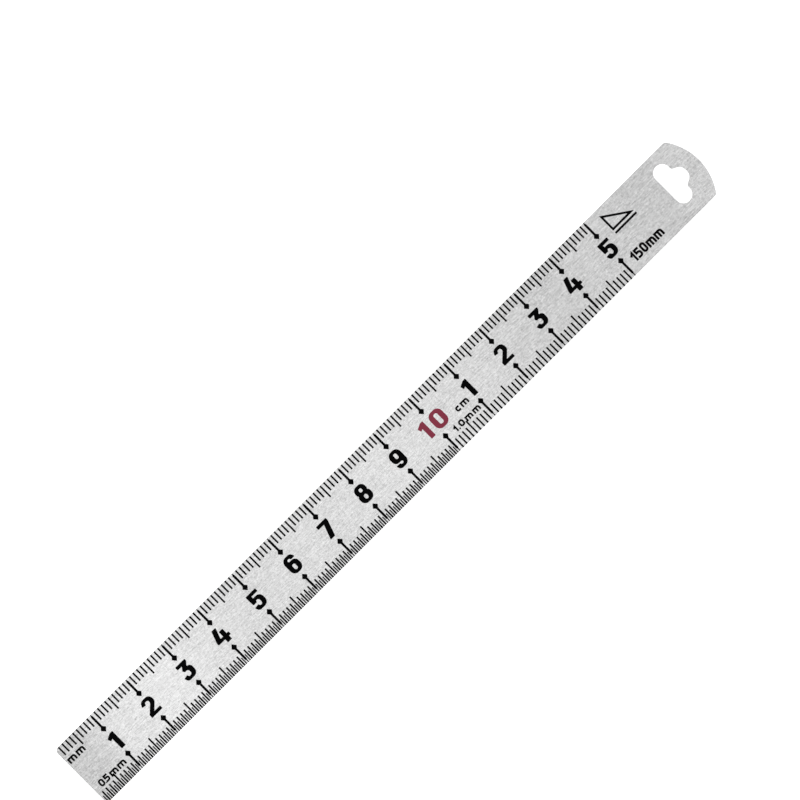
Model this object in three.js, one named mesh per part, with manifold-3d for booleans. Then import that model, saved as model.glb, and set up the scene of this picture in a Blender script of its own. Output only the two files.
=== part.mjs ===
// A 150 mm / 6 in stainless steel rule: one stamped strip with a hang hole, and the paint that fills
// its etched numerals and centimetre marks. Millimetres, +Z up. The rule lies on its inch face, metric
// face up, zero end towards -X. The origin is the middle of the box that holds it, on the underside.
import * as THREE from "three";
import { mergeVertices } from "three/addons/utils/BufferGeometryUtils.js";
import Module from "manifold-3d";

const wasm = await Module();
wasm.setup();

// --- Driving dimensions ---------------------------------------------------------------------------
const LENGTH = 175.7;
const WIDTH = 15;
const THICKNESS = 0.5;
const INCH = 25.4;

const ZERO_CORNER_RADIUS = 0.95; // the two corners of the square zero end
const CROWN_RADIUS = 12.3; // the rounded end beside the hang hole
const CROWN_CORNER_RADIUS = 0.8;
const CROWN_STEPS = 12;

const HANG_HOLE_X = 166.65; // from the zero end to the hole's straight side
const HANG_HOLE_RISE = 0.33; // the hole is punched a little off the middle, towards the upper edge

const ETCH_DEPTH = 0.05; // how deep a mark is etched into the face
const FILL_DROP = 0.01; // the paint dries this far below the face
const CUTTER_RISE = 0.2; // how far an etching cutter stands out of the face

// Centimetre marks: a hairline at the edge, a heavy stem and a diamond.
const EDGE_MARGIN = 0.06;
const HAIRLINE = 0.24;
const STEM = 0.5;
const DIAMOND_HALF_WIDTH = 0.7;
const DIAMOND_HALF_HEIGHT = 0.8;
const UPPER_MARK = { stemStart: 0.3, diamond: 3.84 }; // distances from the edge the mark grows from
const LOWER_MARK = { stemStart: 0.65, diamond: 4.21 };
const CENTIMETRES = 15;

const NUMERAL_BASELINE = 5.79; // above the lower edge, on both faces
const NUMERAL_SCALE = [0.965, 1]; // width and height, before the strokes are grown on every side
const STROKE_GROWTH = 0.055;
const TEN_ONE_SHIFT = -2.15; // the two digits of 10 stand either side of its mark
const TEN_ZERO_SHIFT = 1.48;
const INCH_NUMERAL_SCALE = [0.985, 0.945]; // inch numerals are a little wider and lower
const SMALL_FOUR = { scale: [0.49, 0.52], shift: 1.35, baseline: 9.06 }; // the 4 in numeral is small and high

const ARC_STEP = Math.PI / 5; // largest turn between two points of a rounded corner

// --- Materials --------------------------------------------------------------------------------------
const STEEL = new THREE.MeshStandardMaterial({ color: 0xcfcfcf, roughness: 0.36, metalness: 1 });
const BLACK_FILL = new THREE.MeshStandardMaterial({ color: 0x0b0b0c, roughness: 0.6, metalness: 0 });
const RED_FILL = new THREE.MeshStandardMaterial({ color: 0x8f2740, roughness: 0.55, metalness: 0 });

// --- Outlines: lists of corners [x, y, radius], anticlockwise for a solid ------------------------------

// The hang hole's lobes: a slot across the rule with a third lobe towards the crown.
const HANG_HOLE = [
  [0, -4.8, 1.75],
  [3.7, -4.8, 1.75],
  [3.65, -2.3, 0.5],
  [5.68, -1.2, 1.6],
  [5.68, 1.2, 1.6],
  [3.65, 2.3, 0.5],
  [3.7, 4.8, 1.75],
  [0, 4.8, 1.75],
];

// Numerals, 3.8 high, x from the mark they belong to and y from the baseline.
const ONE = {
  outline: [
    [-0.14, 0, 0.08],
    [0.89, 0, 0.08],
    [0.89, 3.8, 0.08],
    [0.25, 3.8, 0.2],
    [-0.94, 3.22, 0.1],
    [-0.72, 2.52, 0.08],
    [-0.14, 2.76, 0],
  ],
  holes: [],
};

const TWO = {
  outline: [
    [-1.59, 0, 0.08],
    [1.29, 0, 0.08],
    [1.29, 0.62, 0.08],
    [-0.42, 0.62, 0],
    [1.25, 2.2, 0.6],
    [1.25, 3.84, 1.05],
    [-1.1, 3.84, 1],
    [-1.62, 2.85, 0.1],
    [-0.8, 2.72, 0.1],
    [-0.55, 3.22, 0.25],
    [0.32, 3.22, 0.4],
    [0.32, 2.45, 0.4],
    [-1.59, 0.7, 0.3],
  ],
  holes: [],
};

const THREE_GLYPH = {
  outline: [
    [-1.15, 0, 0.7],
    [1.45, 0, 1.1],
    [1.45, 2.2, 0.75],
    [0.55, 2.5, 0.15],
    [1.3, 3.35, 0.2],
    [1.3, 3.8, 0.1],
    [-1.3, 3.8, 0.1],
    [-1.3, 3.15, 0.1],
    [-0.1, 3.15, 0],
    [-0.75, 2.25, 0.1],
    [-0.5, 1.88, 0.1],
    [0.42, 1.88, 0.5],
    [0.42, 0.6, 0.5],
    [-0.45, 0.6, 0.25],
    [-0.68, 1.06, 0.15],
    [-1.58, 0.9, 0.1],
  ],
  holes: [],
};

const FOUR = {
  outline: [
    [-0.13, 0, 0.08],
    [0.92, 0, 0.08],
    [0.92, 0.84, 0],
    [1.43, 0.84, 0.1],
    [1.43, 1.45, 0.1],
    [0.92, 1.45, 0],
    [0.92, 2.7, 0.08],
    [-0.02, 2.7, 0.08],
    [-0.02, 1.45, 0],
    [-0.85, 1.45, 0],
    [0.02, 3.8, 0.08],
    [-1.05, 3.8, 0.1],
    [-1.97, 1.35, 0.1],
    [-1.97, 0.84, 0.08],
    [-0.13, 0.84, 0],
  ],
  holes: [],
};

const FIVE = {
  outline: [
    [-1.14, 0, 0.7],
    [1.41, 0, 1.1],
    [1.41, 2.62, 1.05],
    [-0.48, 2.62, 0],
    [-0.48, 3.17, 0],
    [1.3, 3.17, 0.1],
    [1.3, 3.8, 0.1],
    [-1.43, 3.8, 0.1],
    [-1.36, 1.62, 0.1],
    [-0.5, 1.62, 0.1],
    [-0.32, 2, 0.3],
    [0.42, 2, 0.5],
    [0.42, 0.6, 0.45],
    [-0.3, 0.6, 0.25],
    [-0.55, 1.04, 0.15],
    [-1.56, 0.94, 0.1],
  ],
  holes: [],
};

const SIX = {
  outline: [
    [-1.32, 0, 1.15],
    [1.5, 0, 1.15],
    [1.5, 2.62, 1],
    [-0.36, 2.62, 0.3],
    [-0.36, 3.24, 0.3],
    [0.3, 3.24, 0.2],
    [0.55, 2.88, 0.15],
    [1.5, 2.88, 0.1],
    [1.05, 3.84, 0.8],
    [-1.32, 3.84, 1.15],
  ],
  holes: [
    [
      [-0.36, 0.6, 0.35],
      [0.5, 0.6, 0.35],
      [0.5, 1.9, 0.35],
      [-0.36, 1.9, 0.35],
    ],
  ],
};

const SEVEN = {
  outline: [
    [-1.05, 0, 0.08],
    [0.12, 0, 0.08],
    [1.28, 3.25, 0.2],
    [1.28, 3.8, 0.1],
    [-1.47, 3.8, 0.1],
    [-1.47, 3.13, 0.1],
    [0.14, 3.13, 0],
  ],
  holes: [],
};

const EIGHT = {
  outline: [
    [-1.35, 0, 1.1],
    [1.65, 0, 1.1],
    [1.65, 1.75, 0.6],
    [1.28, 2.06, 0],
    [1.5, 2.35, 0.5],
    [1.5, 3.84, 1.05],
    [-1.2, 3.84, 1.05],
    [-1.2, 2.35, 0.5],
    [-0.98, 2.06, 0],
    [-1.35, 1.75, 0.6],
  ],
  holes: [
    [
      [-0.3, 0.58, 0.42],
      [0.6, 0.58, 0.42],
      [0.6, 1.68, 0.42],
      [-0.3, 1.68, 0.42],
    ],
    [
      [-0.27, 2.3, 0.36],
      [0.57, 2.3, 0.36],
      [0.57, 3.2, 0.36],
      [-0.27, 3.2, 0.36],
    ],
  ],
};

const ZERO = {
  outline: [
    [-1.62, 0, 1.25],
    [1.62, 0, 1.25],
    [1.62, 3.84, 1.25],
    [-1.62, 3.84, 1.25],
  ],
  holes: [
    [
      [-0.54, 0.66, 0.42],
      [0.54, 0.66, 0.42],
      [0.54, 3.18, 0.42],
      [-0.54, 3.18, 0.42],
    ],
  ],
};

// A nine is a six turned half round.
const halfTurn = (corners) => corners.map(([x, y, r]) => [0.1 - x, 3.84 - y, r]);
const NINE = { outline: halfTurn(SIX.outline), holes: SIX.holes.map(halfTurn) };

const DIGITS = [ZERO, ONE, TWO, THREE_GLYPH, FOUR, FIVE, SIX, SEVEN, EIGHT, NINE];

// --- Helpers ------------------------------------------------------------------------------------------

// The points of a closed outline whose corners are rounded with true arcs.
function roundedPoints(corners) {
  const points = [];
  corners.forEach(([x, y, radius], i) => {
    const corner = new THREE.Vector2(x, y);
    if (radius === 0) {
      points.push(corner);
      return;
    }
    const before = new THREE.Vector2(...corners.at(i - 1)).sub(corner).normalize();
    const after = new THREE.Vector2(...corners[(i + 1) % corners.length]).sub(corner).normalize();
    const half = Math.acos(before.dot(after)) / 2;
    const centre = before.clone().add(after).setLength(radius / Math.sin(half)).add(corner);
    const start = before.clone().multiplyScalar(radius / Math.tan(half)).add(corner);
    const turn = Math.sign(after.cross(before)) * (Math.PI - 2 * half);
    const steps = Math.max(1, Math.ceil(Math.abs(turn) / ARC_STEP));
    for (let k = 0; k <= steps; k++) {
      points.push(start.clone().rotateAround(centre, (turn * k) / steps));
    }
  });
  return points;
}

// The points of a closed anticlockwise outline, each moved outwards by a distance.
function grown(points, distance) {
  return points.map((point, i) => {
    const before = point.clone().sub(points.at(i - 1)).normalize();
    const after = points[(i + 1) % points.length].clone().sub(point).normalize();
    const along = before.add(after).normalize();
    const outward = new THREE.Vector2(along.y, -along.x);
    return outward.multiplyScalar(distance / Math.max(0.3, along.dot(after))).add(point);
  });
}

// A THREE.Shape of a glyph or plate: { outline, holes }, scaled and moved on its face, its solid grown.
function shapeOf({ outline, holes }, { x = 0, y = 0, scale = [1, 1], growth = 0 } = {}) {
  const placed = (corners, distance) => {
    const scaled = roundedPoints(corners).map((p) => p.multiply(new THREE.Vector2(...scale)));
    return grown(scaled, distance).map((p) => p.add(new THREE.Vector2(x, y)));
  };
  const shape = new THREE.Shape(placed(outline, growth));
  shape.holes = holes.map((hole) => new THREE.Path(placed(hole, -growth)));
  return shape;
}

// A flat slab of a shape between two heights.
function slab(shape, bottom, top) {
  return new THREE.ExtrudeGeometry(shape, { depth: top - bottom, bevelEnabled: false }).translate(0, 0, bottom);
}

// A closed geometry as a manifold-3d solid, and back again.
function solidOf(geometry) {
  const bare = geometry.clone();
  bare.deleteAttribute("normal");
  bare.deleteAttribute("uv");
  const merged = mergeVertices(bare, 1e-5);
  return new wasm.Manifold(
    new wasm.Mesh({
      numProp: 3,
      vertProperties: merged.attributes.position.array,
      triVerts: new Uint32Array(merged.index.array),
    }),
  );
}

function geometryOf(solid) {
  const mesh = solid.getMesh();
  const geometry = new THREE.BufferGeometry();
  geometry.setAttribute("position", new THREE.BufferAttribute(mesh.vertProperties, 3));
  geometry.setIndex(new THREE.BufferAttribute(mesh.triVerts, 1));
  geometry.computeVertexNormals();
  return geometry;
}

// --- The blade's outline --------------------------------------------------------------------------------

// Square at the zero end, and a shallow crown at the other. x runs from the zero end, y from the middle.
function bladeOutline() {
  const half = WIDTH / 2;
  const reach = Math.asin(half / CROWN_RADIUS);
  const corners = [
    [0, half, ZERO_CORNER_RADIUS],
    [0, -half, ZERO_CORNER_RADIUS],
  ];
  for (let k = 0; k <= CROWN_STEPS; k++) {
    const angle = reach * ((2 * k) / CROWN_STEPS - 1);
    const atCorner = k === 0 || k === CROWN_STEPS;
    corners.push([
      LENGTH - CROWN_RADIUS * (1 - Math.cos(angle)),
      CROWN_RADIUS * Math.sin(angle),
      atCorner ? CROWN_CORNER_RADIUS : 0,
    ]);
  }
  return corners;
}

// --- Marks: each is { name, shape, material }, in its face's frame ----------------------------------------
// On each face x runs from the zero end and y from the lower edge as the face is read.

// A centimetre mark that grows inwards from an edge; direction is 1 from the lower edge, -1 from the upper.
function centimetreMark(x, edge, direction, { stemStart, diamond }) {
  const shoulder = diamond - DIAMOND_HALF_HEIGHT * (1 - STEM / 2 / DIAMOND_HALF_WIDTH);
  const side = [
    [HAIRLINE / 2, EDGE_MARGIN],
    [HAIRLINE / 2, stemStart],
    [STEM / 2, stemStart + STEM / 2],
    [STEM / 2, shoulder],
    [DIAMOND_HALF_WIDTH, diamond],
    [0, diamond + DIAMOND_HALF_HEIGHT],
  ];
  const mirrored = side.slice(0, -1).reverse().map(([dx, dy]) => [-dx, dy]);
  const outline = [...side, ...mirrored].map(([dx, dy]) => [dx, direction * dy, 0]);
  return shapeOf({ outline: direction > 0 ? outline : outline.reverse(), holes: [] }, { x, y: edge });
}

const twoDigits = (n) => String(n).padStart(2, "0");

function metricMarks() {
  const marks = [];
  for (let cm = 1; cm <= CENTIMETRES; cm++) {
    const x = 10 * cm;
    const numeral = (name, digit, shift, material) => {
      const shape = shapeOf(DIGITS[digit], {
        x: x + shift,
        y: NUMERAL_BASELINE,
        scale: NUMERAL_SCALE,
        growth: STROKE_GROWTH,
      });
      marks.push({ name: `metric_numeral_${name}`, shape, material });
    };
    if (cm === 10) {
      numeral("10_one", 1, TEN_ONE_SHIFT, RED_FILL);
      numeral("10_zero", 0, TEN_ZERO_SHIFT, RED_FILL);
    } else {
      numeral(twoDigits(cm), cm % 10, 0, BLACK_FILL);
    }
    marks.push({
      name: `metric_upper_arrow_${twoDigits(cm)}`,
      shape: centimetreMark(x, WIDTH, -1, UPPER_MARK),
      material: BLACK_FILL,
    });
    marks.push({
      name: `metric_lower_arrow_${twoDigits(cm)}`,
      shape: centimetreMark(x, 0, 1, LOWER_MARK),
      material: BLACK_FILL,
    });
  }
  return marks;
}

function inchMarks() {
  return [1, 2, 3, 4, 5, 6].map((inch) => {
    const small = inch === 4;
    const place = {
      x: inch * INCH + (small ? SMALL_FOUR.shift : 0),
      y: small ? SMALL_FOUR.baseline : NUMERAL_BASELINE,
      scale: small ? SMALL_FOUR.scale : INCH_NUMERAL_SCALE,
      growth: STROKE_GROWTH,
    };
    return { name: `inch_numeral_${inch}`, shape: shapeOf(DIGITS[inch], place), material: BLACK_FILL };
  });
}

// --- Assembly ---------------------------------------------------------------------------------------------

const ruler = new THREE.Group();

const metricFace = new THREE.Group();
metricFace.position.set(-LENGTH / 2, -WIDTH / 2, THICKNESS);
ruler.add(metricFace);

// The rule is turned over about its long axis to read the inch face, so the zero stays at the same end.
const inchFace = new THREE.Group();
inchFace.position.set(-LENGTH / 2, WIDTH / 2, 0);
inchFace.rotation.x = Math.PI;
ruler.add(inchFace);

function bladeBlank() {
  const hole = HANG_HOLE.map(([x, y, r]) => [x + HANG_HOLE_X, y + HANG_HOLE_RISE, r]);
  const shape = shapeOf({ outline: bladeOutline(), holes: [hole] }, { x: -LENGTH / 2 });
  return solidOf(slab(shape, 0, THICKNESS));
}

let bladeSolid = bladeBlank();

for (const [face, marks] of [
  [metricFace, metricMarks()],
  [inchFace, inchMarks()],
]) {
  face.updateMatrixWorld(true);
  for (const { name, shape, material } of marks) {
    const cutter = slab(shape, -ETCH_DEPTH, CUTTER_RISE).applyMatrix4(face.matrixWorld);
    bladeSolid = bladeSolid.subtract(solidOf(cutter));
    const fill = new THREE.Mesh(slab(shape, -ETCH_DEPTH, -FILL_DROP), material);
    fill.name = name;
    face.add(fill);
  }
}

const blade = new THREE.Mesh(geometryOf(bladeSolid), STEEL);
blade.name = "blade";
ruler.add(blade);

export default ruler;
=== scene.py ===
"""Looks for a 150 mm / 6 in stainless steel rule.

Both faces of the brushed blade carry etched marks, each filled with enamel. Lengths are in
millimetres up to the point where a mesh is made. A face's own frame has x from the zero end, y from
the lower edge as that face is read, and z out of the face.
"""

import math

import bmesh
import bpy
from mathutils import Matrix, Vector
from mathutils.geometry import delaunay_2d_cdt


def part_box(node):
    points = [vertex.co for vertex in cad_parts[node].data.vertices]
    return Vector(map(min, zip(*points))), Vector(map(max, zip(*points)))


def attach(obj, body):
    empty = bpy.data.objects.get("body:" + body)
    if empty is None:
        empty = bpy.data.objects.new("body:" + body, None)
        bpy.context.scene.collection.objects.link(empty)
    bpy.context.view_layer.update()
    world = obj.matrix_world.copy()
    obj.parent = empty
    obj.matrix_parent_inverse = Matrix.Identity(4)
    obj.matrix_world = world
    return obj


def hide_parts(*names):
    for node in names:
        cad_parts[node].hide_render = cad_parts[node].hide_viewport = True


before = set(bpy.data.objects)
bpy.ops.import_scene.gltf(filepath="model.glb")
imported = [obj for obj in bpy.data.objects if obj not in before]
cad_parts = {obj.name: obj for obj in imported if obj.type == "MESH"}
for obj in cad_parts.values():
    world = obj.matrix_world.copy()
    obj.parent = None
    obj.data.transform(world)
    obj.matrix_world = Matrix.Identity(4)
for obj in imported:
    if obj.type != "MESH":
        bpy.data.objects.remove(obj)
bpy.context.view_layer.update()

MM = 0.001
INCH = 25.4

# --- The blade -----------------------------------------------------------------------------------

BLADE_LOW, BLADE_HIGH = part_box("blade")
LENGTH, WIDTH, THICKNESS = (BLADE_HIGH - BLADE_LOW) / MM

# The rest of the CAD blade's shape, which its box doesn't give.
ZERO_CORNER_RADIUS = 0.95
CROWN_RADIUS = 12.3
CROWN_CORNER_RADIUS = 0.8
CROWN_STEPS = 48
HANG_HOLE_X = 166.65
HANG_HOLE_RISE = 0.33  # off the middle, towards the metric face's upper edge
EDGE_BREAK = 0.05  # radius of the blade's broken edges
EDGE_STEPS = 4

ETCH_DEPTH = 0.04
FILL_DROP = 0.008  # the enamel's surface lies this far below the steel's
EDGE_MARGIN = 0.06  # marks stop just short of the broken edge
MARK_CORNER = 0.04  # corner radius of ticks and other plain bars

# How outlines are worked out.
ARC_STEP = math.radians(12)
STRAIGHT_HALF_ANGLE = math.radians(89.5)  # a corner this nearly straight isn't rounded
LONGEST_REACH = 0.49  # how much of a side one corner's arc may take up on an open line
LOOP_MITRE_LIMIT = 0.2
LINE_MITRE_LIMIT = 0.45

# --- Outlines: corners (x, y, radius) ------------------------------------------------------------

HANG_HOLE = [
    (0, -4.8, 1.75),
    (3.7, -4.8, 1.75),
    (3.65, -2.3, 0.5),
    (5.68, -1.2, 1.6),
    (5.68, 1.2, 1.6),
    (3.65, 2.3, 0.5),
    (3.7, 4.8, 1.75),
    (0, 4.8, 1.75),
]

# Numerals 3.8 high: (outline, counters), x from the mark they belong to and y from the baseline.
NUMERAL_TOP = 3.84  # of the round numerals
ZERO = (
    [(-1.62, 0, 1.25), (1.62, 0, 1.25), (1.62, 3.84, 1.25), (-1.62, 3.84, 1.25)],
    [[(-0.54, 0.66, 0.42), (0.54, 0.66, 0.42), (0.54, 3.18, 0.42), (-0.54, 3.18, 0.42)]],
)
ONE = (
    [
        (-0.14, 0, 0.08), (0.89, 0, 0.08), (0.89, 3.8, 0.08), (0.25, 3.8, 0.2),
        (-0.94, 3.22, 0.1), (-0.72, 2.52, 0.08), (-0.14, 2.76, 0),
    ],
    [],
)
TWO = (
    [
        (-1.59, 0, 0.08), (1.29, 0, 0.08), (1.29, 0.62, 0.08), (-0.42, 0.62, 0),
        (1.25, 2.2, 0.6), (1.25, 3.84, 1.05), (-1.1, 3.84, 1), (-1.62, 2.85, 0.1),
        (-0.8, 2.72, 0.1), (-0.55, 3.22, 0.25), (0.32, 3.22, 0.4), (0.32, 2.45, 0.4),
        (-1.59, 0.7, 0.3),
    ],
    [],
)
THREE = (
    [
        (-1.15, 0, 0.7), (1.45, 0, 1.1), (1.45, 2.2, 0.75), (0.55, 2.5, 0.15),
        (1.3, 3.35, 0.2), (1.3, 3.8, 0.1), (-1.3, 3.8, 0.1), (-1.3, 3.15, 0.1),
        (-0.1, 3.15, 0), (-0.75, 2.25, 0.1), (-0.5, 1.88, 0.1), (0.42, 1.88, 0.5),
        (0.42, 0.6, 0.5), (-0.45, 0.6, 0.25), (-0.68, 1.06, 0.15), (-1.58, 0.9, 0.1),
    ],
    [],
)
FOUR = (
    [
        (-0.13, 0, 0.08), (0.92, 0, 0.08), (0.92, 0.84, 0), (1.43, 0.84, 0.1),
        (1.43, 1.45, 0.1), (0.92, 1.45, 0), (0.92, 2.7, 0.08), (-0.02, 2.7, 0.08),
        (-0.02, 1.45, 0), (-0.85, 1.45, 0), (0.02, 3.8, 0.08), (-1.05, 3.8, 0.1),
        (-1.97, 1.35, 0.1), (-1.97, 0.84, 0.08), (-0.13, 0.84, 0),
    ],
    [],
)
FIVE = (
    [
        (-1.14, 0, 0.7), (1.41, 0, 1.1), (1.41, 2.62, 1.05), (-0.48, 2.62, 0),
        (-0.48, 3.17, 0), (1.3, 3.17, 0.1), (1.3, 3.8, 0.1), (-1.43, 3.8, 0.1),
        (-1.36, 1.62, 0.1), (-0.5, 1.62, 0.1), (-0.32, 2, 0.3), (0.42, 2, 0.5),
        (0.42, 0.6, 0.45), (-0.3, 0.6, 0.25), (-0.55, 1.04, 0.15), (-1.56, 0.94, 0.1),
    ],
    [],
)
SIX = (
    [
        (-1.32, 0, 1.15), (1.5, 0, 1.15), (1.5, 2.62, 1), (-0.36, 2.62, 0.3),
        (-0.36, 3.24, 0.3), (0.3, 3.24, 0.2), (0.55, 2.88, 0.15), (1.5, 2.88, 0.1),
        (1.05, 3.84, 0.8), (-1.32, 3.84, 1.15),
    ],
    [[(-0.36, 0.6, 0.35), (0.5, 0.6, 0.35), (0.5, 1.9, 0.35), (-0.36, 1.9, 0.35)]],
)
SEVEN = (
    [
        (-1.05, 0, 0.08), (0.12, 0, 0.08), (1.28, 3.25, 0.2), (1.28, 3.8, 0.1),
        (-1.47, 3.8, 0.1), (-1.47, 3.13, 0.1), (0.14, 3.13, 0),
    ],
    [],
)
EIGHT = (
    [
        (-1.35, 0, 1.1), (1.65, 0, 1.1), (1.65, 1.75, 0.6), (1.28, 2.06, 0),
        (1.5, 2.35, 0.5), (1.5, 3.84, 1.05), (-1.2, 3.84, 1.05), (-1.2, 2.35, 0.5),
        (-0.98, 2.06, 0), (-1.35, 1.75, 0.6),
    ],
    [
        [(-0.3, 0.58, 0.42), (0.6, 0.58, 0.42), (0.6, 1.68, 0.42), (-0.3, 1.68, 0.42)],
        [(-0.27, 2.3, 0.36), (0.57, 2.3, 0.36), (0.57, 3.2, 0.36), (-0.27, 3.2, 0.36)],
    ],
)


SIX_TO_NINE_SHIFT = 0.1


def half_turn(corners):
    """The six turned upside down is the nine."""
    return [(SIX_TO_NINE_SHIFT - x, NUMERAL_TOP - y, r) for x, y, r in corners]


NINE = (half_turn(SIX[0]), [half_turn(c) for c in SIX[1]])
NUMERALS = [ZERO, ONE, TWO, THREE, FOUR, FIVE, SIX, SEVEN, EIGHT, NINE]

# Label characters drawn with a line of one width: (width over height, open lines, rings). Points
# run from 0 to 1 between the line centres at the character's edges. A third number, 0, keeps that
# corner sharp.
DOT = 0.24  # width of a full stop
DOT_CORNER = 0.05
I_DOT = 0.75  # height of an i's dot, in strokes
LINE_CORNER = 0.8  # radius of the centre line's corners, in strokes
LINE_CHARACTERS = {
    "0": (0.75, [], [[(0, 0), (1, 0), (1, 1), (0, 1)]]),
    "1": (0.4, [[(0, 0.74), (1, 1, 0), (1, 0)]], []),
    "2": (0.75, [[(0, 0.62), (0, 1), (1, 1), (1, 0.6), (0, 0, 0), (1, 0)]], []),
    "3": (
        0.75,
        [[(0, 1), (1, 1), (1, 0.53), (0.35, 0.53)], [(0.35, 0.53), (1, 0.53), (1, 0), (0, 0)]],
        [],
    ),
    "4": (0.8, [[(0.5, 1), (0, 0.25, 0), (1, 0.25)], [(0.72, 0.55), (0.72, 0)]], []),
    "5": (0.75, [[(0.9, 1), (0, 1, 0), (0, 0.58, 0), (1, 0.58), (1, 0), (0, 0)]], []),
    "6": (0.75, [[(0.9, 1), (0, 1), (0, 0.3)]], [[(0, 0), (1, 0), (1, 0.58), (0, 0.58)]]),
    "m": (1.6, [[(0, 0), (0, 1)], [(0, 1, 0), (1, 1), (1, 0)], [(0.5, 0), (0.5, 1)]], []),
    "n": (0.85, [[(0, 0), (0, 1)], [(0, 1, 0), (1, 1), (1, 0)]], []),
    "c": (0.85, [[(0.8, 1), (0, 1), (0, 0), (0.8, 0)]], []),
    "i": (0, [[(0, 0), (0, 1)]], []),
    ".": (0, [], []),
    " ": (0.55, [], []),
    "S": (0.7, [[(1, 0.78), (1, 1), (0, 1), (0, 0.52), (1, 0.52), (1, 0), (0, 0), (0, 0.22)]], []),
    "T": (0.7, [[(0, 1), (1, 1)], [(0.5, 1), (0.5, 0)]], []),
    "A": (0.8, [[(0, 0), (0.45, 1)], [(0.55, 1), (1, 0)], [(0.2, 0.3), (0.8, 0.3)]], []),
    "I": (0, [[(0, 0), (0, 1)]], []),
    "N": (0.75, [[(0, 0), (0, 1)], [(0.03, 0.95), (0.97, 0.05)], [(1, 0), (1, 1)]], []),
    "L": (0.62, [[(0, 1), (0, 0, 0), (1, 0)]], []),
    "E": (0.64, [[(1, 1), (0, 1, 0), (0, 0, 0), (1, 0)], [(0, 0.5), (0.85, 0.5)]], []),
}


# --- Plane geometry ------------------------------------------------------------------------------


def rounded(corners, closed=True):
    """The points of a line through the corners, each one rounded with an arc of its radius."""
    points = []
    count = len(corners)
    for i, (x, y, radius) in enumerate(corners):
        corner = Vector((x, y))
        if radius == 0 or (not closed and i in (0, count - 1)):
            points.append(corner)
            continue
        to_before = Vector(corners[i - 1][:2]) - corner
        to_after = Vector(corners[(i + 1) % count][:2]) - corner
        half = to_before.angle(to_after) / 2
        if half > STRAIGHT_HALF_ANGLE:
            points.append(corner)
            continue
        reach = radius / math.tan(half)
        if not closed:
            reach = min(reach, LONGEST_REACH * min(to_before.length, to_after.length))
        radius = reach * math.tan(half)
        to_before.normalize()
        to_after.normalize()
        centre = corner + (to_before + to_after).normalized() * radius / math.sin(half)
        spoke = corner + to_before * reach - centre
        side = 1 if to_after.cross(to_before) > 0 else -1
        turn = side * (math.pi - 2 * half)
        steps = max(1, math.ceil(abs(turn) / ARC_STEP))
        for k in range(steps + 1):
            points.append(centre + Matrix.Rotation(turn * k / steps, 2) @ spoke)
    return points


def anticlockwise(loop):
    """The same loop, run anticlockwise."""
    area = sum(a.cross(b) for a, b in zip(loop, loop[1:] + loop[:1]))
    return loop if area > 0 else loop[::-1]


def offset_loop(loop, distance):
    """A closed anticlockwise loop moved outwards by the distance."""
    moved = []
    for i, point in enumerate(loop):
        before = (point - loop[i - 1]).normalized()
        after = (loop[(i + 1) % len(loop)] - point).normalized()
        along = (before + after).normalized()
        outward = Vector((along.y, -along.x))
        moved.append(point + outward * distance / max(LOOP_MITRE_LIMIT, along.dot(after)))
    return moved


def line_outline(points, width):
    """The outline of a line of one width along the points, with square ends."""
    left, right = [], []
    for i, point in enumerate(points):
        before = (point - points[i - 1]).normalized() if i else None
        after = (points[i + 1] - point).normalized() if i < len(points) - 1 else None
        if before is None:
            point, before = point - after * width / 2, after
        elif after is None:
            point, after = point + before * width / 2, before
        along = (before + after).normalized()
        reach = width / 2 / max(LINE_MITRE_LIMIT, along.dot(after))
        side = Vector((-along.y, along.x)) * reach
        left.append(point + side)
        right.append(point - side)
    return left + right[::-1]


# --- Marks ---------------------------------------------------------------------------------------
# A mark is (solid loops, hole loops). Its area is what lies in any solid loop and in no hole loop.


def moved(loop, x, y, scale=(1, 1)):
    """The loop scaled about its own origin, then moved."""
    return [Vector((p.x * scale[0] + x, p.y * scale[1] + y)) for p in loop]


def numeral(digit, x, y, scale):
    """A numeral scaled on its place, its strokes then grown on every side."""
    outline, counters = NUMERALS[digit]
    solids = [offset_loop(moved(rounded(outline), x, y, scale), STROKE_GROWTH)]
    holes = [offset_loop(moved(rounded(c), x, y, scale), -STROKE_GROWTH) for c in counters]
    return solids, holes


def bar(x0, x1, y0, y1, radius=MARK_CORNER):
    """A rectangle from x0 to x1 and from y0 to y1, with rounded corners."""
    return rounded([(x0, y0, radius), (x1, y0, radius), (x1, y1, radius), (x0, y1, radius)])


def edge_margin(x):
    """How far from a long edge a mark at x may begin: further beside the rounded zero corners."""
    across = max(ZERO_CORNER_RADIUS - x, 0)
    inner = ZERO_CORNER_RADIUS - EDGE_MARGIN
    return ZERO_CORNER_RADIUS - math.sqrt(max(inner**2 - across**2, 0))


def ticks(places, edge, direction, width):
    """Ticks at the places {x: length}, growing from an edge.

    The direction is 1 from the lower edge and -1 from the upper one.
    """
    loops = []
    for x, length in places.items():
        margin = edge_margin(x - width / 2)
        start, end = sorted((edge + direction * margin, edge + direction * length))
        loops.append(bar(x - width / 2, x + width / 2, start, end))
    return loops, []


def joined(*marks):
    """Several marks as one."""
    solids = [loop for mark_solids, _ in marks for loop in mark_solids]
    holes = [loop for _, mark_holes in marks for loop in mark_holes]
    return solids, holes


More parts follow.
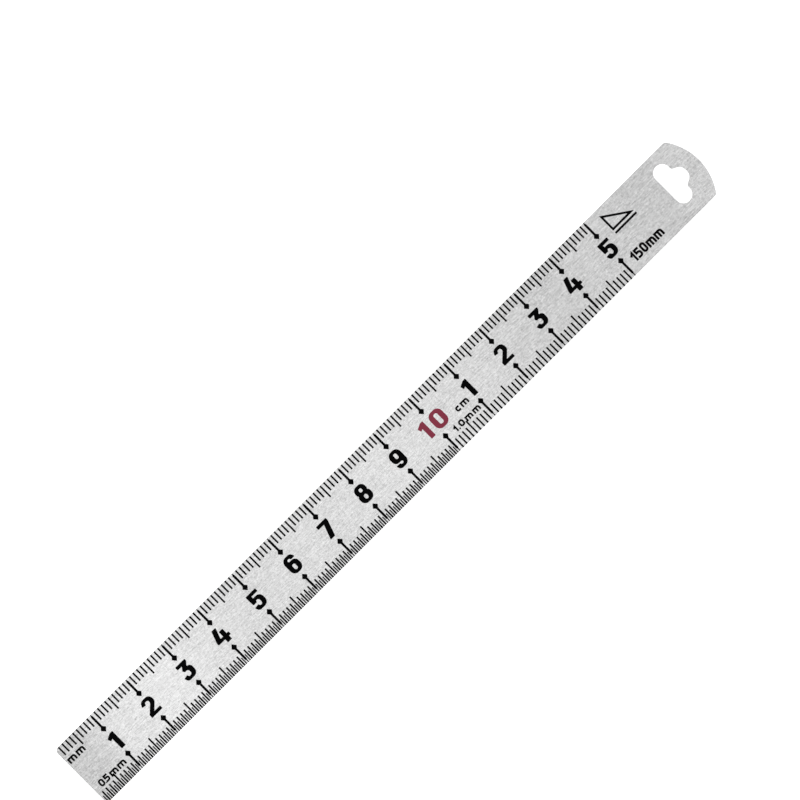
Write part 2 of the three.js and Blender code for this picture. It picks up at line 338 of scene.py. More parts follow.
def text(words, x, y, width, height, x_height, stroke, widths=None):
    """Line characters from x to x + width on the baseline y, with even gaps.

    widths gives the width of some characters, in place of the usual one.
    """
    widths = widths or {}
    sizes = []
    for character in words:
        tall = x_height if character in "mnci" else height
        least = DOT if character == "." else stroke
        usual = max(least, LINE_CHARACTERS[character][0] * tall)
        sizes.append((widths.get(character, usual), tall))
    gap = (width - sum(wide for wide, _ in sizes)) / (len(words) - 1)
    solids, holes = [], []
    for character, (wide, tall) in zip(words, sizes):
        low = Vector((x + stroke / 2, y + stroke / 2))
        span = Vector((wide - stroke, tall - stroke))
        if character == ".":
            solids.append(bar(x, x + wide, y, y + wide, DOT_CORNER))
        if character == "i":
            top = y + height
            solids.append(bar(x, x + wide, top - I_DOT * stroke, top, DOT_CORNER))
        x += wide + gap

        def placed(points):
            radii = [p[2] if len(p) == 3 else LINE_CORNER * stroke for p in points]
            return [
                (low.x + p[0] * span.x, low.y + p[1] * span.y, r) for p, r in zip(points, radii)
            ]

        _, lines, rings = LINE_CHARACTERS[character]
        solids += [line_outline(rounded(placed(line), closed=False), stroke) for line in lines]
        for ring in rings:
            centre_line = rounded(placed(ring))
            solids.append(offset_loop(centre_line, stroke / 2))
            holes.append(offset_loop(centre_line, -stroke / 2))
    return solids, holes


# Centimetre marks: a hairline at the edge, a heavy stem and a diamond.
HAIRLINE = 0.24
STEM = 0.5
DIAMOND_HALF_WIDTH = 0.7
DIAMOND_HALF_HEIGHT = 0.8
UPPER_MARK = (0.3, 3.84)  # the stem's start and the diamond's middle, from the edge
LOWER_MARK = (0.65, 4.21)


def centimetre_mark(x, edge, direction, stem_start, diamond):
    """The mark at x that grows from an edge, in the same direction as a tick there."""
    shoulder = diamond - DIAMOND_HALF_HEIGHT * (1 - STEM / 2 / DIAMOND_HALF_WIDTH)
    side = [
        (HAIRLINE / 2, EDGE_MARGIN, 0.02),
        (HAIRLINE / 2, stem_start, 0.05),
        (STEM / 2, stem_start + STEM / 2, 0.05),
        (STEM / 2, shoulder, 0.03),
        (DIAMOND_HALF_WIDTH, diamond, 0.08),
        (0, diamond + DIAMOND_HALF_HEIGHT, 0.08),
    ]
    mirrored = [(-dx, dy, r) for dx, dy, r in side[-2::-1]]
    return [moved(rounded([(dx, direction * dy, r) for dx, dy, r in side + mirrored]), x, edge)], []


# Tick lengths from the edge: one for most ticks, and one for the fives.
UPPER_TICKS = (2.23, 3.14)
LOWER_TICKS = (2.47, 3.48)
HALF_MILLIMETRE_TICK = 1.69
METRIC_TICK_WIDTH = 0.37
HALF_MILLIMETRE_TICK_WIDTH = 0.26
LAST_CENTIMETRE = 15
HALF_MILLIMETRES_END = 100

BASELINE = 5.79
NUMERAL_SCALE = (0.965, 1)
STROKE_GROWTH = 0.055
TEN_ONE_SHIFT = -2.15
TEN_ZERO_SHIFT = 1.48
LINE = 0.4  # stroke of the unit labels


def metric_marks():
    """{piece name: (loops, CAD node it replaces or None, slot)} for the metric face."""
    marks = {}
    for cm in range(1, LAST_CENTIMETRE + 1):
        name = f"metric_numeral_{cm:02d}"
        if cm == 10:
            marks[name + "_one"] = (
                numeral(1, 100 + TEN_ONE_SHIFT, BASELINE, NUMERAL_SCALE),
                "metric_numeral_10_one",
                "red_fill",
            )
            marks[name + "_zero"] = (
                numeral(0, 100 + TEN_ZERO_SHIFT, BASELINE, NUMERAL_SCALE),
                "metric_numeral_10_zero",
                "red_fill",
            )
        else:
            marks[name] = (numeral(cm % 10, 10 * cm, BASELINE, NUMERAL_SCALE), name, "black_fill")
        upper, lower = f"metric_upper_arrow_{cm:02d}", f"metric_lower_arrow_{cm:02d}"
        marks[upper] = (centimetre_mark(10 * cm, WIDTH, -1, *UPPER_MARK), upper, "black_fill")
        marks[lower] = (centimetre_mark(10 * cm, 0, 1, *LOWER_MARK), lower, "black_fill")

    millimetres = [mm for mm in range(1, 10 * LAST_CENTIMETRE) if mm % 10]
    upper_ticks = {mm: UPPER_TICKS[mm % 5 == 0] for mm in millimetres}
    lower_ticks = {mm: LOWER_TICKS[mm % 5 == 0] for mm in millimetres}
    half_ticks = {mm + 0.5: HALF_MILLIMETRE_TICK for mm in range(HALF_MILLIMETRES_END)}
    loose = {
        "metric_upper_ticks": ticks(upper_ticks, WIDTH, -1, METRIC_TICK_WIDTH),
        "metric_lower_ticks": ticks(lower_ticks, 0, 1, METRIC_TICK_WIDTH),
        "metric_half_millimetre_ticks": ticks(half_ticks, 0, 1, HALF_MILLIMETRE_TICK_WIDTH),
    }
    loose.update(metric_labels())
    marks.update({name: (loops, None, "black_fill") for name, loops in loose.items()})
    return marks


def metric_labels():
    """{piece name: loops} for the metric face's labels and pictogram."""
    return {
        "metric_label_mm": text(
            "mm", x=0.42, y=WIDTH - 4.32, width=4.25, height=1.27, x_height=1.27, stroke=0.43,
            widths={"m": 1.96},
        ),
        "metric_label_half_mm": joined(
            text(
                "0.5", x=1.57, y=2.98, width=2.56, height=1.6, x_height=1.6, stroke=LINE,
                widths={"0": 1.17, "5": 1.13},
            ),
            text(
                "mm", x=4.47, y=2.98, width=4.1, height=1.6, x_height=1.2, stroke=LINE,
                widths={"m": 1.9},
            ),
        ),
        "metric_label_cm": text(
            "cm", x=105.13, y=5.74, width=3.29, height=1.17, x_height=1.17, stroke=LINE,
            widths={"c": 1.14, "m": 1.88},
        ),
        "metric_label_one_mm": joined(
            text(
                "1.0", x=102.1, y=3.08, width=2.67, height=1.45, x_height=1.45, stroke=LINE,
                widths={"1": 0.7, ".": 0.32, "0": 1.24},
            ),
            text(
                "mm", x=105.2, y=3.08, width=3.9, height=1.45, x_height=1.12, stroke=LINE,
                widths={"m": 1.78},
            ),
        ),
        "metric_size_label": text(
            "150mm", x=151.9, y=1.82, width=8.45, height=2.2, x_height=1.65, stroke=0.5,
            widths={"1": 0.95, "5": 1.35, "0": 1.35, "m": 2.05},
        ),
        "metric_square_pictogram": square_pictogram(x=153.2, y=WIDTH - 6.3, size=5.0),
    }


def square_pictogram(x, y, size):
    """A plain set square with a triangular window, and a line under its long side."""
    frame_width = 0.46
    lift = 0.9  # of the set square above the line's lower side
    long_side = 1.2 * size
    outer = [(x, y + lift, 0.08), (x + long_side, y + lift, 0.08), (x, y + size, 0.08)]
    corner = Vector((x + frame_width, y + lift + frame_width))
    slope = (size - lift) / long_side
    reach = frame_width * math.hypot(1, slope)
    height = (size - lift) - frame_width - reach - slope * frame_width
    inner = [
        (corner.x, corner.y, 0.05),
        (corner.x + height / slope, corner.y, 0.05),
        (corner.x, corner.y + height, 0.05),
    ]
    underline = bar(x, x + long_side, y, y + frame_width)
    return [rounded(outer), underline], [rounded(inner)]


INCH_NUMERAL_SCALE = (0.985, 0.945)
SMALL_FOUR_SCALE = (0.49, 0.52)
SMALL_FOUR_SHIFT = 1.35
SMALL_FOUR_BASELINE = 9.06
LAST_INCH = 6
FINE_START, FINE_END = 2.5, 3  # the finest divisions lie between these inches

# Tick lengths from the edge, by the part of an inch.
UPPER_HALF = 4.7
UPPER_TENTH = 3.484
UPPER_TWENTIETH = 2.445
UPPER_FIFTIETH = 1.727
LOWER_HALF = 4.71
LOWER_QUARTER = 4.08
LOWER_EIGHTH = 3.06
LOWER_SIXTEENTH = 2.4
LOWER_THIRTY_SECOND = 1.8
LOWER_SIXTY_FOURTH = 1.42

INCH_TICK = 0.33  # widths
FIFTIETH_TICK = 0.24
SIXTY_FOURTH_TICK = 0.19
SCALE_LINE = 0.26
SCALE_LINE_CORNER = 0.01

UPPER_LABEL_BASELINE = WIDTH - 5.52
LOWER_LABEL_BASELINE = 3.44
DIVISION_LABEL_HEIGHT = 1.5
DIVISION_LABEL_STROKE = 0.38
DIVISION_LABEL_WIDTHS = {"5": 1.14, "0": 1.28, "6": 1.17, "4": 1.32}
CAPITALS = {"S": 1.25, "T": 1.2, "A": 1.5, "N": 1.42, "L": 1.02, "E": 1.12, " ": 1.1}


def division_label(words, x, y, width):
    """The number of parts that an inch is divided into, beside its scale."""
    height = DIVISION_LABEL_HEIGHT
    return text(words, x, y, width, height, height, DIVISION_LABEL_STROKE, DIVISION_LABEL_WIDTHS)


def inch_marks():
    """The same for the inch face."""
    marks = {}
    for inch in range(1, LAST_INCH + 1):
        name = f"inch_numeral_{inch}"
        place = (inch * INCH, BASELINE, INCH_NUMERAL_SCALE)
        if inch == 4:
            place = (inch * INCH + SMALL_FOUR_SHIFT, SMALL_FOUR_BASELINE, SMALL_FOUR_SCALE)
        marks[name] = (numeral(inch, *place), name, "black_fill")

    upper, fiftieths = upper_inch_ticks()
    lower, sixty_fourths = lower_inch_ticks()
    upper_lines = [(UPPER_TWENTIETH, FINE_END), (UPPER_TENTH, LAST_INCH)]
    lower_lines = [
        (LOWER_THIRTY_SECOND, FINE_END), (LOWER_SIXTEENTH, LAST_INCH), (LOWER_EIGHTH, LAST_INCH),
    ]
    loose = {
        "inch_upper_scale": comb(upper, WIDTH, -1, upper_lines),
        "inch_upper_fiftieths": ticks(fiftieths, WIDTH, -1, FIFTIETH_TICK),
        "inch_lower_scale": comb(lower, 0, 1, lower_lines),
        "inch_lower_sixty_fourths": ticks(sixty_fourths, 0, 1, SIXTY_FOURTH_TICK),
    }
    loose.update(inch_labels())
    marks.update({name: (loops, None, "black_fill") for name, loops in loose.items()})
    return marks


def upper_inch_ticks():
    """Two sets {x: length}: the upper edge's heavy ticks, and its fiftieths.

    The tenths run all the way, the twentieths to where the fiftieths begin.
    """
    heavy, fiftieths = {}, {}
    for fiftieth in range(50 * LAST_INCH + 1):
        inches = fiftieth / 50
        if fiftieth % 25 == 0:
            heavy[inches * INCH] = UPPER_HALF
        elif fiftieth % 5 == 0:
            heavy[inches * INCH] = UPPER_TENTH
        elif FINE_START < inches < FINE_END:
            fiftieths[inches * INCH] = UPPER_FIFTIETH
    for twentieth in range(1, int(20 * FINE_START), 2):
        if twentieth % 10:
            heavy[twentieth / 20 * INCH] = UPPER_TWENTIETH
    return heavy, fiftieths


def lower_inch_ticks():
    """The same for the lower edge: its heavy ticks, and its sixty-fourths.

    The sixteenths run all the way, the thirty-seconds to where the sixty-fourths end.
    """
    heavy, sixty_fourths = {}, {}
    for part in range(64 * LAST_INCH + 1):
        inches = part / 64
        if part % 32 == 0:
            heavy[inches * INCH] = LOWER_HALF
        elif part % 16 == 0:
            heavy[inches * INCH] = LOWER_QUARTER
        elif part % 8 == 0:
            heavy[inches * INCH] = LOWER_EIGHTH
        elif part % 4 == 0:
            heavy[inches * INCH] = LOWER_SIXTEENTH
        elif part % 2 == 0 and inches < FINE_END:
            heavy[inches * INCH] = LOWER_THIRTY_SECOND
        elif FINE_START < inches < FINE_END:
            sixty_fourths[inches * INCH] = LOWER_SIXTY_FOURTH
    return heavy, sixty_fourths


def comb(places, edge, direction, lines):
    """Heavy ticks and the lines that tie them together, kept clear of the zero end.

    A line is (its distance from the edge, the inches it runs to).
    """
    start = EDGE_MARGIN + INCH_TICK / 2
    clear = {max(x, start): length for x, length in places.items()}
    solids, _ = ticks(clear, edge, direction, INCH_TICK)
    for height, inches in lines:
        middle = edge + direction * height
        low, high = middle - SCALE_LINE / 2, middle + SCALE_LINE / 2
        solids.append(bar(EDGE_MARGIN, inches * INCH, low, high, SCALE_LINE_CORNER))
    return solids, []


def inch_labels():
    """{piece name: loops} for the inch face's labels."""
    fine, coarse = FINE_START * INCH, FINE_END * INCH
    high, low = UPPER_LABEL_BASELINE, LOWER_LABEL_BASELINE
    return {
        "inch_label_20": division_label("20", 1.49, high, 2.7),
        "inch_label_50": division_label("50", fine + 1.49, high, 2.7),
        "inch_label_10": division_label("10", coarse + 1.95, high, 2.3),
        "inch_label_32": division_label("32", 1.45, low, 2.68),
        "inch_label_64": division_label("64", fine + 1.45, low, 2.68),
        "inch_label_16": division_label("16", coarse + 1.65, low, 2.25),
        "inch_label_in": text(
            "in", x=6 * INCH - 6.17, y=WIDTH - 9.42, width=2.05, height=1.71, x_height=1.22,
            stroke=LINE, widths={"n": 1.27},
        ),
        "inch_steel_label": text(
            "STAINLESS STEEL", x=4 * INCH - 10.9, y=5.0, width=21.4, height=2.8, x_height=2.8,
            stroke=0.46, widths=CAPITALS,
        ),
    }


# --- The blade and its fills ---------------------------------------------------------------------


def blade_outline():
    """The blade seen from its metric face, anticlockwise from the zero end."""
    half = WIDTH / 2
    reach = math.asin(half / CROWN_RADIUS)
    corners = [(0, half, ZERO_CORNER_RADIUS), (0, -half, ZERO_CORNER_RADIUS)]
    for k in range(CROWN_STEPS + 1):
        if k in (1, CROWN_STEPS - 1):
            continue  # the arcs of the crown's corners reach past these two
        angle = reach * (2 * k / CROWN_STEPS - 1)
        radius = CROWN_CORNER_RADIUS if k in (0, CROWN_STEPS) else 0
        x = LENGTH - CROWN_RADIUS * (1 - math.cos(angle))
        corners.append((x, CROWN_RADIUS * math.sin(angle), radius))
    return anticlockwise([p + Vector((0, half)) for p in rounded(corners)])


OUTLINE = blade_outline()
HOLE = anticlockwise(moved(rounded(HANG_HOLE), HANG_HOLE_X, WIDTH / 2 + HANG_HOLE_RISE))


WELD_2D = 1e-5


def split_face(marks, hole):
    """Splits a blade face along every mark.

    Returns the points, the plain triangles and each mark's triangles. Where marks overlap, one
    of them has the triangle.
    """
    points, loops, owners = [], [], []

    def add(loop, owner, is_hole):
        loop = anticlockwise(loop)
        loops.append(list(range(len(points), len(points) + len(loop))))
        points.extend(loop)
        owners.append((owner, is_hole))

    add(offset_loop(OUTLINE, -EDGE_BREAK), None, False)
    add(offset_loop(hole, EDGE_BREAK), None, True)
    for name, ((solids, holes), _, _) in marks.items():
        for loop in solids:
            add(loop, name, False)
        for loop in holes:
            add(loop, name, True)
    inside_only = 1
    points, _, triangles, _, _, sources = delaunay_2d_cdt(
        points, [], loops, inside_only, WELD_2D, True
    )
    plain, owned = [], {name: [] for name in marks}
    for triangle, source in zip(triangles, sources):
        held = [owners[s] for s in source]
        cut = {owner for owner, is_hole in held if is_hole}
        solid = [owner for owner, is_hole in held if not is_hole and owner not in cut]
        if None not in solid:
            continue
        mark = next((owner for owner in solid if owner is not None), None)
        (plain if mark is None else owned[mark]).append(list(triangle))
    return points, plain, owned


def border(triangles):
    """Directed edges with no neighbour in the set; the set lies on their left."""
    edges = {(t[k], t[(k + 1) % 3]) for t in triangles for k in range(3)}
    return [(a, b) for a, b in edges if (b, a) not in edges]


class Builder:
    """Collects faces of points in millimetres; equal points are shared."""

    def __init__(self, place):
        self.place, self.index, self.vertices, self.faces = place, {}, [], []

    def vertex(self, point, z):
        key = (round(point[0], 5), round(point[1], 5), round(z, 5))
        if key not in self.index:
            self.index[key] = len(self.vertices)
            self.vertices.append(self.place(point[0], point[1], z) * MM)
        return self.index[key]

    def face(self, *corners):
        self.faces.append([self.vertex(p, z) for p, z in corners])

    def wall(self, a, b, top, bottom):
        """A wall below the edge a to b, seen from that edge's right side."""
        self.face((b, top), (a, top), (a, bottom), (b, bottom))


def metric_place(x, y, z):
    """A point of the metric face's frame, in the row's frame."""
    return Vector((x - LENGTH / 2, y - WIDTH / 2, THICKNESS + z))


def inch_place(x, y, z):
    """The same for the inch face."""
    return Vector((x - LENGTH / 2, WIDTH / 2 - y, -z))


# Sizes of a face normal's z.
MAPPED_FROM_ABOVE = 0.7  # over this, the brushing is mapped from above
ON_EDGE = 0.9  # under this, a face belongs to an edge
UPRIGHT = 0.01  # under this, it is a wall
WELD = 1e-7  # in metres
DEGENERATE = 1e-8


def make_object(name, parts, material):
    """A mesh object from builders, with equal points welded.

    Its map's first axis runs across the brushing.
    """
    vertices, faces = [], []
    for part in parts:
        start = len(vertices)
        vertices.extend(part.vertices)
        faces.extend([start + i for i in face] for face in part.faces)
    mesh = bpy.data.meshes.new(name)
    mesh.from_pydata(vertices, [], faces)
    work = bmesh.new()
    work.from_mesh(mesh)
    bmesh.ops.remove_doubles(work, verts=work.verts, dist=WELD)
    bmesh.ops.dissolve_degenerate(work, edges=work.edges, dist=DEGENERATE)
    layer = work.loops.layers.uv.new("brushing")
    for face in work.faces:
        flat = abs(face.normal.z) > MAPPED_FROM_ABOVE
        for loop in face.loops:
            x, y, z = loop.vert.co / MM
            loop[layer].uv = (y, x) if flat else (x + y, z)
    work.to_mesh(mesh)
    work.free()
    mesh.materials.append(material)
    made = bpy.data.objects.new(name, mesh)
    bpy.context.scene.collection.objects.link(made)
    return made


def edge_rings(with_side):
    """(inset, z) of the rings of a broken edge, from a face's border outwards and down."""
    rings = []
    for k in range(EDGE_STEPS + 1):
        angle = math.pi / 2 * k / EDGE_STEPS
        rings.append((EDGE_BREAK * (1 - math.sin(angle)), -EDGE_BREAK * (1 - math.cos(angle))))
    if with_side:
        rings.append((0, EDGE_BREAK - THICKNESS))
    return rings


def make_blade(material, edge_material, faces):
    """The blade: both faces with their etched pockets, the broken edges and the sides."""
    parts = []
    for place, hole, (points, plain, owned) in faces:
        part = Builder(place)
        etched = [t for triangles in owned.values() for t in triangles]
        for triangle in plain:
            part.face(*((points[i], 0) for i in triangle))
        for triangle in etched:
            part.face(*((points[i], -ETCH_DEPTH) for i in triangle))
        for a, b in border(etched):
            part.wall(points[b], points[a], 0, -ETCH_DEPTH)
        rings = edge_rings(with_side=place is metric_place)
        for (inset, top), (next_inset, bottom) in zip(rings, rings[1:]):
            for loop, side in ((OUTLINE, -1), (hole, 1)):
                upper = offset_loop(loop, side * inset)
                lower = offset_loop(loop, side * next_inset)
                if side > 0:
                    upper, lower = upper[::-1], lower[::-1]
                for i in range(len(loop)):
                    j = (i + 1) % len(loop)
                    part.face(
                        (upper[j], top), (upper[i], top), (lower[i], bottom), (lower[j], bottom)
                    )
        parts.append(part)
    blade = make_object("brushed_blade", parts, material)
    mesh = blade.data
    mesh.materials.append(edge_material)
    below_pockets = ETCH_DEPTH * 1.2 * MM
    for polygon in mesh.polygons:
        z = polygon.center.z
        upright = abs(polygon.normal.z) < UPRIGHT
        pocket_wall = min(z, THICKNESS * MM - z) < below_pockets and upright
        if abs(polygon.normal.z) < ON_EDGE and not pocket_wall:
            polygon.material_index = 1
            polygon.use_smooth = abs(polygon.normal.z) > UPRIGHT
    return blade


def make_fill(name, place, points, triangles, material):
    """The enamel in one mark's pocket."""
    part = Builder(place)
    for triangle in triangles:
        part.face(*((points[i], -FILL_DROP) for i in triangle))
        part.face(*((points[i], -ETCH_DEPTH) for i in reversed(triangle)))
    for a, b in border(triangles):
        part.wall(points[a], points[b], -FILL_DROP, -ETCH_DEPTH)
    return make_object(name, [part], material)


# --- Materials -----------------------------------------------------------------------------------


class Nodes:
    """A short way to write a node material."""

    def __init__(self, name):
        self.material = bpy.data.materials.new(name)
        self.material.use_nodes = True
        self.tree = self.material.node_tree
        self.tree.nodes.clear()
        self.position = self.add("ShaderNodeTexCoord").outputs["Object"]

    def add(self, kind, **settings):
        """A new node with those settings."""
        node = self.tree.nodes.new(kind)
        for key, value in settings.items():
            setattr(node, key, value)
        return node

    def link(self, source, target):
        self.tree.links.new(source, target)

    def noise(self, per_mm, detail=2.0, rough=0.5):
        """Noise of that many features a millimetre along x, y and z, from 0 to 1."""
        mapping = self.add("ShaderNodeMapping")
        mapping.inputs["Scale"].default_value = [f / MM for f in per_mm]
        self.link(self.position, mapping.inputs["Vector"])
        node = self.add("ShaderNodeTexNoise")
        node.inputs["Scale"].default_value = 1.0
        node.inputs["Detail"].default_value = detail
        node.inputs["Roughness"].default_value = rough
        self.link(mapping.outputs["Vector"], node.inputs["Vector"])
        return node.outputs["Fac"]

    def math(self, operation, a, b=None, c=None, clamp=False):
        """A math node on numbers or sockets."""
        node = self.add("ShaderNodeMath", operation=operation, use_clamp=clamp)
        for socket, value in zip(node.inputs, (a, b, c)):
            if value is None:
                continue
            if isinstance(value, (int, float)):
                socket.default_value = value
            else:
                self.link(value, socket)
        return node.outputs["Value"]

    def remap(self, value, low, high, to_low, to_high):
        """The value's range from low to high, stretched to another range."""
        node = self.add("ShaderNodeMapRange")
        self.link(value, node.inputs["Value"])
        node.inputs["From Min"].default_value = low
        node.inputs["From Max"].default_value = high
        node.inputs["To Min"].default_value = to_low
        node.inputs["To Max"].default_value = to_high
        return node.outputs["Result"]

    def painted_sheen_along(self):
        """A painted sheen: brightness along the blade standing in for reflected studio light, 1 on
        plain steel.
        """
        split = self.add("ShaderNodeSeparateXYZ")
        self.link(self.position, split.inputs["Vector"])
        from_zero = self.math("ADD", split.outputs["X"], LENGTH / 2 * MM)
        ramp = self.add("ShaderNodeValToRGB")
        self.link(self.math("DIVIDE", from_zero, LENGTH * MM), ramp.inputs["Fac"])
        ramp.color_ramp.interpolation = "EASE"
        elements = ramp.color_ramp.elements
        while len(elements) < len(PAINTED_SHEEN_ALONG):
            elements.new(0.5)
        for element, (x, level) in zip(elements, PAINTED_SHEEN_ALONG):
            element.position = x / LENGTH
            element.color = (level, level, level, 1)
        return ramp.outputs["Color"]

    def grey(self, value):
        """A grey of that brightness."""
        node = self.add("ShaderNodeCombineColor")
        for key in ("Red", "Green", "Blue"):
            self.link(value, node.inputs[key])
        return node.outputs["Color"]

    def bump(self, height, strength, distance_mm, normal=None):
        """The normal of a surface raised by the height, on top of another normal."""
        node = self.add("ShaderNodeBump")
        node.inputs["Strength"].default_value = strength
        node.inputs["Distance"].default_value = distance_mm * MM
        self.link(height, node.inputs["Height"])
        if normal is not None:
            self.link(normal, node.inputs["Normal"])
        return node.outputs["Normal"]

    def finish(self, **values):
        """The material, as a principled shader with those inputs."""
        shader = self.add("ShaderNodeBsdfPrincipled")
        for key, value in values.items():
            socket = shader.inputs[key.replace("_", " ")]
            if isinstance(value, bpy.types.NodeSocket):
                self.link(value, socket)
            else:
                socket.default_value = value
        output = self.add("ShaderNodeOutputMaterial")
        self.link(shader.outputs["BSDF"], output.inputs["Surface"])
        return self.material


# Layers of the brushed tone: (features a mm along the blade and across it, the noise's roughness,
# strength).
LINES = (0.12, 6.0, 0.5, 0.2)
STREAKS = (0.7, 7.0, 0.6, 0.45)
HAIRS = (2.5, 9.0, 0.6, 0.65)
CROSS = (4.5, 1.2, 0.5, 0.22)
CLOUDS = (0.08, 0.14, 0.3)  # features a mm along x, y and z
CLOUD_STRENGTH = 0.08


def steel_material(name, grain, tone, roughness, anisotropic):
    """Brushed stainless steel. grain scales the brushing's frequency along x, y and z."""
    n = Nodes(name)
    gx, gy, gz = grain

    def brushing(layer):
        along, across, rough, _ = layer
        return n.noise((along * gx, across * gy, across * gz), 2, rough)

    lines, streaks, hairs, cross = (brushing(layer) for layer in (LINES, STREAKS, HAIRS, CROSS))
    clouds = n.noise(CLOUDS, 3)
    # The steel's brightness starts from a painted sheen along the blade, in place of reflected
    # studio light.
    value = n.painted_sheen_along()
    for source, amount in (
        (lines, LINES[-1]),
        (streaks, STREAKS[-1]),
        (hairs, HAIRS[-1]),
        (cross, CROSS[-1]),
        (clouds, CLOUD_STRENGTH),
    ):
        value = n.math("MULTIPLY_ADD", n.math("SUBTRACT", source, 0.5), 2 * amount, value)
    value = n.math("MULTIPLY", value, tone)
    gloss = n.math("MULTIPLY_ADD", n.math("SUBTRACT", streaks, 0.5), 0.3, roughness)
    gloss = n.math("MULTIPLY_ADD", n.math("SUBTRACT", clouds, 0.5), 0.12, gloss, clamp=True)
    normal = n.bump(streaks, strength=0.25, distance_mm=0.004)
    normal = n.bump(hairs, strength=0.2, distance_mm=0.0015, normal=normal)
    tangent = n.add("ShaderNodeTangent", direction_type="UV_MAP", uv_map="brushing")
    return n.finish(
        Base_Color=n.grey(value),
        Metallic=1.0,
        Roughness=gloss,
        Anisotropic=anisotropic,
        Normal=normal,
        Tangent=tangent.outputs["Tangent"],
    )


def enamel_material(name, colour, roughness):
    """Baked enamel in an etched mark: matte, with a fine grain."""
    n = Nodes(name)
    grain = n.noise((6, 6, 6), 3, 0.6)
    mottle = n.noise((0.7, 0.7, 0.7), 2)
    mix = n.add("ShaderNodeMix", data_type="RGBA")
    mix.inputs["A"].default_value = (*[c * 0.75 for c in colour], 1)
    mix.inputs["B"].default_value = (*[c * 1.25 for c in colour], 1)
    factor = n.math("MULTIPLY_ADD", grain, 0.5, n.math("MULTIPLY", mottle, 0.5))
    n.link(factor, mix.inputs["Factor"])
    return n.finish(
        Base_Color=mix.outputs["Result"],
        Roughness=n.remap(grain, 0.3, 0.7, roughness - 0.06, roughness + 0.06),
        Specular_IOR_Level=0.02,
        Normal=n.bump(grain, strength=0.3, distance_mm=0.004),
    )


# (Distance from the zero end, brightness of the painted sheen there): painted light standing in for
# the studio light's reflection along the blade. The levels were set by comparing renders with the
# photograph.
PAINTED_SHEEN_ALONG = (
    (0, 0.82), (4, 0.86), (15, 1.09), (25, 1.13), (35, 1.06), (47, 1.0), (70, 1.01),
    (88, 1.05), (112, 1.025), (133, 0.93), (148, 0.985), (163, 0.96), (174, 1.05),
)
STEEL = steel_material(
    "brushed_steel", grain=(1, 1, 1), tone=0.565, roughness=0.34, anisotropic=0.6
)
CUT_EDGE = steel_material(
    "cut_steel_edge", grain=(8, 8, 0.25), tone=0.55, roughness=0.38, anisotropic=0.3
)
BLACK = enamel_material("black_enamel", (0.0008, 0.0008, 0.001), 0.5)
RED = enamel_material("red_enamel", (0.222, 0.036, 0.06), 0.45)
ENAMEL = {"black_fill": BLACK, "red_fill": RED}

# --- Build ---------------------------------------------------------------------------------------

faces = []
turned_hole = anticlockwise([Vector((p.x, WIDTH - p.y)) for p in HOLE])
for place, hole, marks in (
    (metric_place, HOLE, metric_marks()),
    (inch_place, turned_hole, inch_marks()),
):
    points, plain, owned = split_face(marks, hole)
    faces.append((place, hole, (points, plain, owned)))
    for name, (_, node, slot) in marks.items():
        fill = make_fill(name + "_enamel", place, points, owned[name], ENAMEL[slot])
        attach(fill, "root")
        if node:
            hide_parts(node)

blade = make_blade(STEEL, CUT_EDGE, faces)
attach(blade, "root")
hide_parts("blade")

# --- Floor, light and camera ---------------------------------------------------------------------


FLOOR_HALF = 3.0  # in metres
FLOOR_Z = -0.02 * MM
FLOOR_GLOW = 0.75
WORLD_GLOW = 0.95


def make_floor():
    """A pale acrylic sheet lit from below, as a product table is. From underneath it is clear."""
    mesh = bpy.data.meshes.new("floor")
    corners = [(-1, -1), (1, -1), (1, 1), (-1, 1)]
    vertices = [(x * FLOOR_HALF, y * FLOOR_HALF, FLOOR_Z) for x, y in corners]
    mesh.from_pydata(vertices, [], [(0, 1, 2, 3)])
    floor = bpy.data.objects.new("floor", mesh)
    bpy.context.scene.collection.objects.link(floor)
    n = Nodes("pale_acrylic")
    shader = n.add("ShaderNodeBsdfPrincipled")
    shader.inputs["Base Color"].default_value = (0.8, 0.8, 0.8, 1)
    shader.inputs["Roughness"].default_value = 0.7
    shader.inputs["Specular IOR Level"].default_value = 0.1
    shader.inputs["Emission Color"].default_value = (1, 1, 1, 1)
    shader.inputs["Emission Strength"].default_value = FLOOR_GLOW
    clear = n.add("ShaderNodeBsdfTransparent")
    mix = n.add("ShaderNodeMixShader")
    n.link(n.add("ShaderNodeNewGeometry").outputs["Backfacing"], mix.inputs["Fac"])
    n.link(shader.outputs["BSDF"], mix.inputs[1])
    n.link(clear.outputs["BSDF"], mix.inputs[2])
    n.link(mix.outputs["Shader"], n.add("ShaderNodeOutputMaterial").inputs["Surface"])
    mesh.materials.append(n.material)


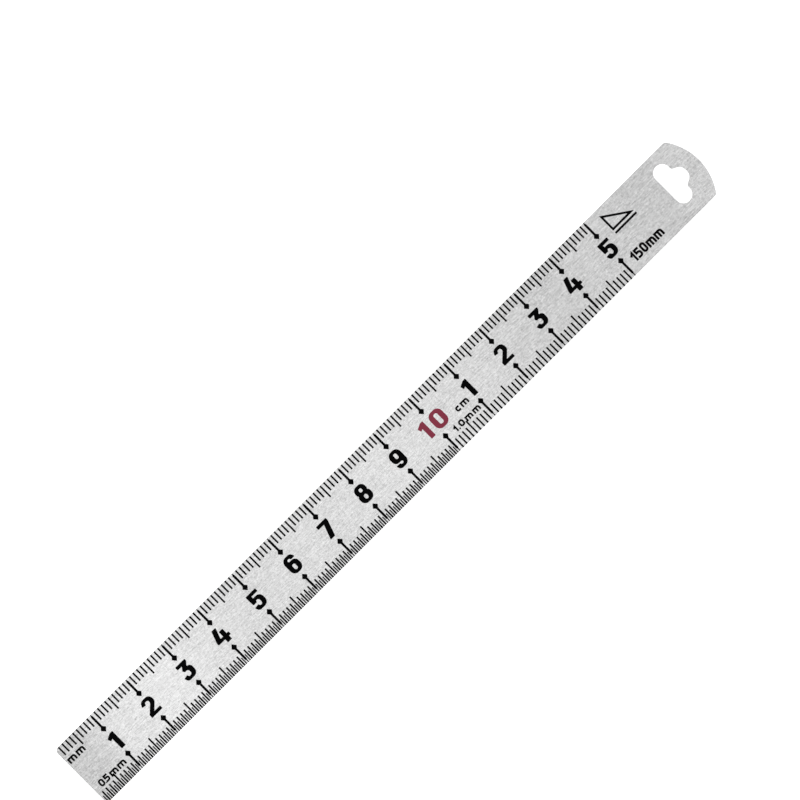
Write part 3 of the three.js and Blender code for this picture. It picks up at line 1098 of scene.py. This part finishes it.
def make_softbox(name, position, width, height, radiance):
    """A soft panel that faces the middle of the ruler. Its place and size are in metres."""
    light = bpy.data.lights.new(name, "AREA")
    light.shape = "RECTANGLE"
    light.size, light.size_y = width, height
    light.energy = radiance * math.pi * width * height
    lamp = bpy.data.objects.new(name, light)
    lamp.location = position
    lamp.rotation_euler = Vector(position).to_track_quat("Z", "Y").to_euler()
    bpy.context.scene.collection.objects.link(lamp)


make_floor()
make_softbox(
    "overhead_softbox", position=(-0.35, 0.1, 1.2), width=0.8, height=1.2, radiance=0.5
)

world = bpy.data.worlds.new("studio")
world.use_nodes = True
background = world.node_tree.nodes["Background"]
background.inputs["Color"].default_value = (1, 1, 1, 1)
background.inputs["Strength"].default_value = WORLD_GLOW
bpy.context.scene.world = world
bpy.context.scene.view_settings.view_transform = "Standard"

# The camera looks almost straight down, turned so that the ruler runs from lower left to upper
# right. Distances are in millimetres and turns in degrees.
CAMERA_LENS_MM = 135.0
CAMERA_SENSOR_MM = 36.0
CAMERA_NEAR, CAMERA_FAR = 0.01, 20.0  # in metres
CAMERA_DISTANCE = 603.8
CAMERA_SHIFT_ACROSS = -1.75
CAMERA_SHIFT_UP = -13.49
RULER_TURN = 44.96
CAMERA_PITCH = -1.41
CAMERA_YAW = 0.94

camera_data = bpy.data.cameras.new("camera")
camera_data.lens = CAMERA_LENS_MM
camera_data.sensor_width = CAMERA_SENSOR_MM
camera_data.clip_start = CAMERA_NEAR
camera_data.clip_end = CAMERA_FAR
camera = bpy.data.objects.new("camera", camera_data)
turn = (
    Matrix.Rotation(math.radians(CAMERA_PITCH), 4, "X")
    @ Matrix.Rotation(math.radians(CAMERA_YAW), 4, "Y")
    @ Matrix.Rotation(math.radians(RULER_TURN), 4, "Z")
)
shift = Matrix.Translation(Vector((CAMERA_SHIFT_ACROSS, CAMERA_SHIFT_UP, -CAMERA_DISTANCE)) * MM)
camera.matrix_world = (shift @ turn).inverted()
bpy.context.scene.collection.objects.link(camera)
bpy.context.scene.camera = camera
